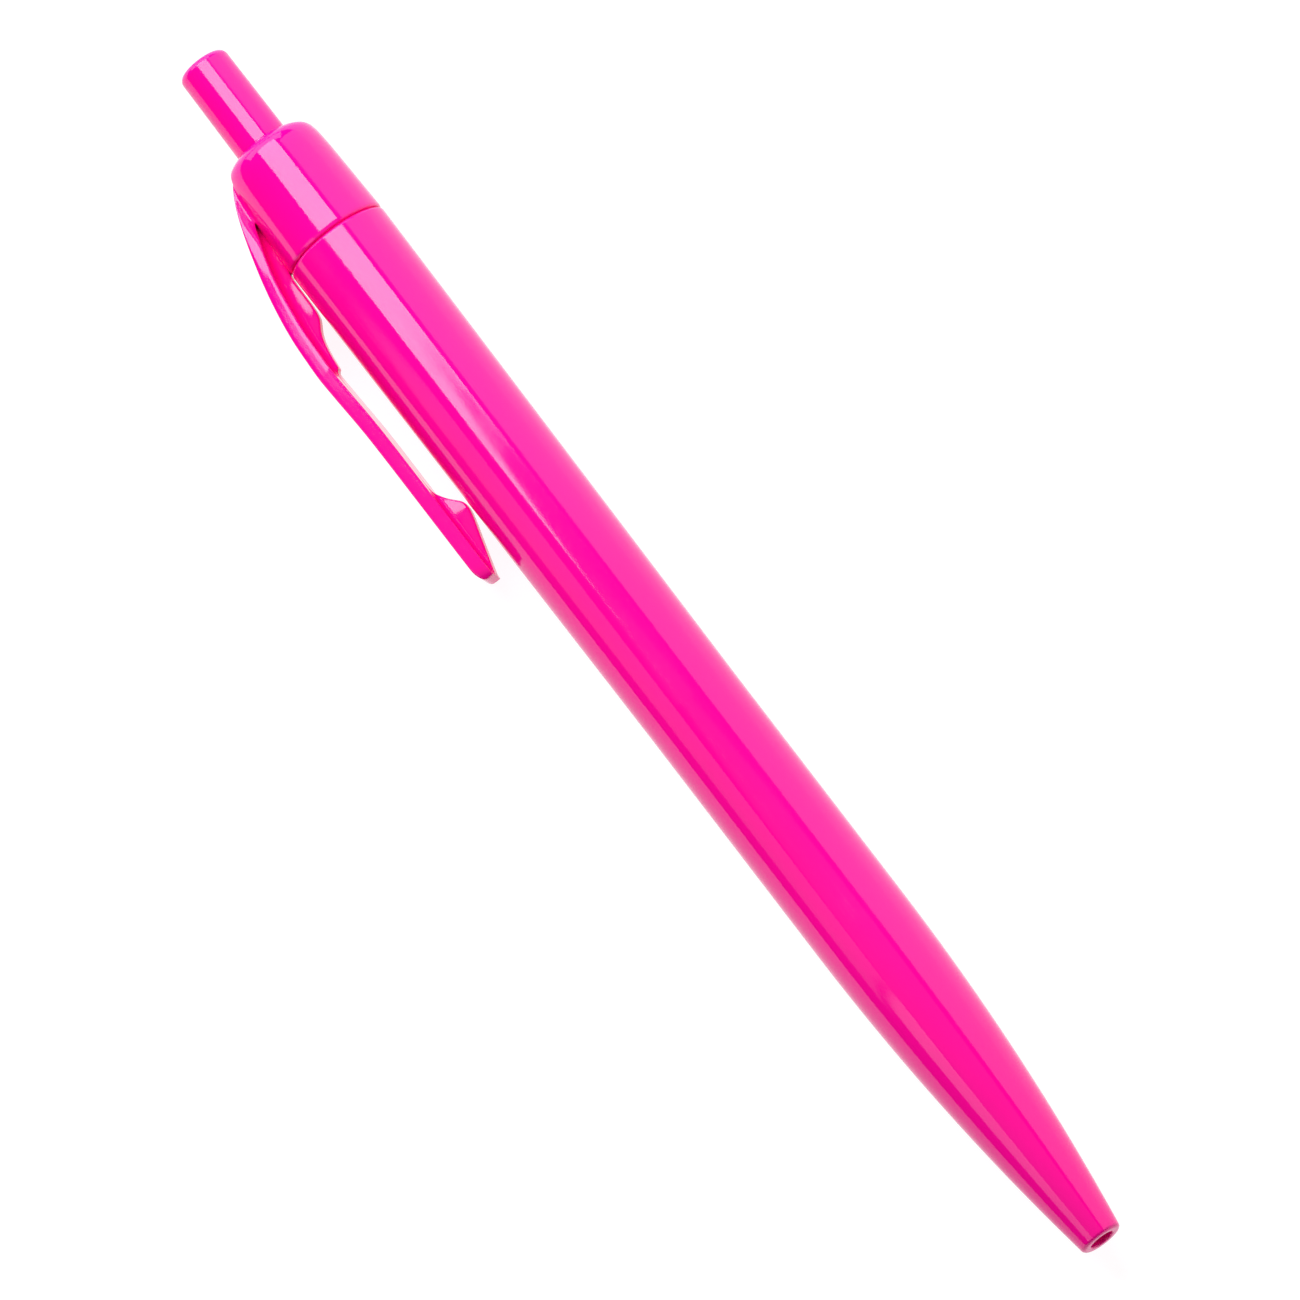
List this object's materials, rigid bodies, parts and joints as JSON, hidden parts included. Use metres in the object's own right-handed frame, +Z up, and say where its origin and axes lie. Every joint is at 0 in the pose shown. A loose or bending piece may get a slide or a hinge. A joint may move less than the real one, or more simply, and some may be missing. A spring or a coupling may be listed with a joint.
{
  "type": "retractable ballpoint pen",
  "caption": "Slim push-button ballpoint pen in highlighter pink, with a pocket clip moulded to its collar and a spring-loaded refill.",
  "frame": {"origin": "under the middle of the pen as it lies, on the plane that its barrel and the lower edge of its clip rest on", "axes": "+X along the pen towards its point, +Z up, the clip on the -Y side and a little below the level of the axis"},
  "size_m": [0.142, 0.0146, 0.0106],
  "materials": {
    "pink_shell": "glossy opaque styrene plastic in fluorescent pink",
    "white_mechanism": "natural acetal, satin",
    "clear_tube": "translucent polypropylene",
    "pink_ink": "wet fluorescent ink",
    "follower_grease": "clear amber grease",
    "point_brass": "turned brass",
    "ball_metal": "polished carbide",
    "spring_steel": "drawn spring wire"
  },
  "bodies": {
    "housing": {"barrel": "pink_shell", "collar": "pink_shell", "guide_sleeve": "white_mechanism", "return_spring": "spring_steel"},
    "clip": {"pocket_clip": "pink_shell"},
    "button": {"push_button": "pink_shell", "thrust_crown": "white_mechanism"},
    "refill": {"rotor": "white_mechanism", "refill_tube": "clear_tube", "ink_column": "pink_ink", "ink_follower": "follower_grease", "tip_holder": "white_mechanism", "writing_point": "point_brass"},
    "ball": {"ball": "ball_metal"}
  },
  "joints": [
    {"name": "button_press", "type": "slide", "parent": "housing", "child": "button", "axis": [1, 0, 0], "range_m": [0, 0.006], "stiffness_N_per_m": 350, "springref_m": -0.006},
    {"name": "refill_slide", "type": "slide", "parent": "housing", "child": "refill", "axis": [1, 0, 0], "range_m": [0, 0.006], "deforming": ["return_spring"]},
    {"name": "ball_roll", "type": "hinge", "parent": "refill", "child": "ball", "pos_m": [0.0688, 0.00205, 0.00528], "axis": [0, 1, 0], "continuous": true},
    {"name": "clip_flex", "type": "hinge", "parent": "housing", "child": "clip", "pos_m": [-0.0574, -0.00326, 0.00367], "axis": [0, 0.2906, -0.9568], "range_deg": [0, 3], "stiffness_Nm_per_rad": 4}
  ],
  "couplings": [
    {"joint": "refill_slide", "follows": "button_press", "ratio": 1}
  ]
}
